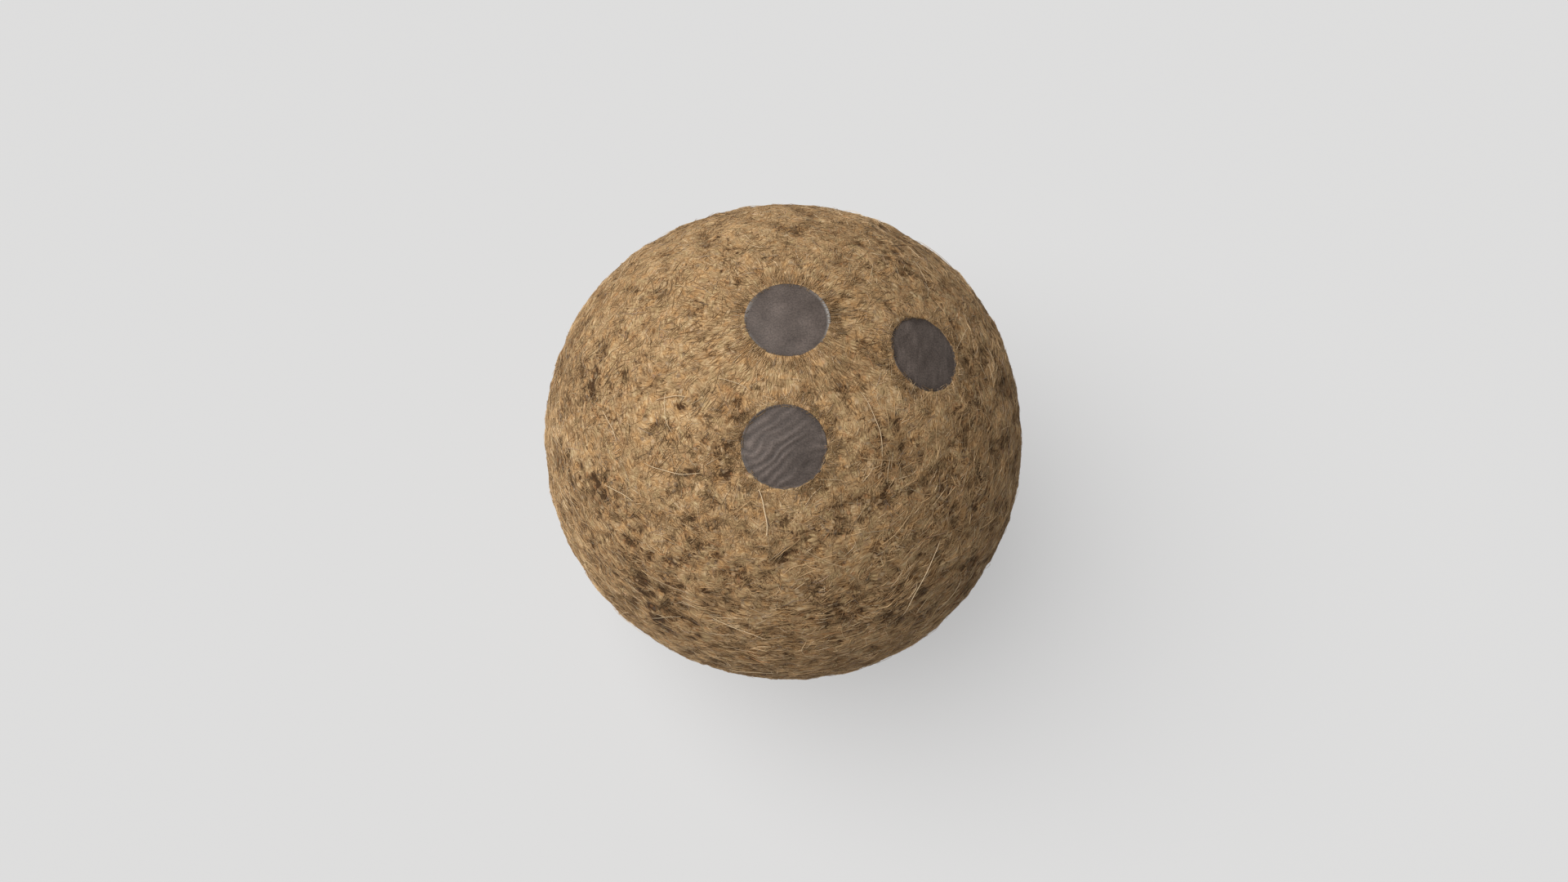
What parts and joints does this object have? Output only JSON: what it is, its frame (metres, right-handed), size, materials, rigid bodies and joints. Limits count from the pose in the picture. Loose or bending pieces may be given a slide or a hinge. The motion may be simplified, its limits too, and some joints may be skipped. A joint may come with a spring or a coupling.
{
  "type": "husked coconut",
  "caption": "Round husked brown coconut with a matted coir fibre surface and sunken round eyes at its stem end, standing on a small flat spot.",
  "frame": {"origin": "middle of the small flat spot at the blossom end that the nut rests on", "axes": "+Z from the flat spot up through the eye at the stem end; -Y is the side of the second eye and +X is close to the side of the third"},
  "size_m": [0.1096, 0.1097, 0.1081],
  "materials": {
    "coir": "matted golden-brown husk fibre, dry and matt, with dark gaps and pale loose strands",
    "eye_skin": "smooth grey-brown skin of the eyes, dull satin with faint wrinkles"
  },
  "bodies": {
    "root": {"coconut": "coir"}
  },
  "joints": []
}
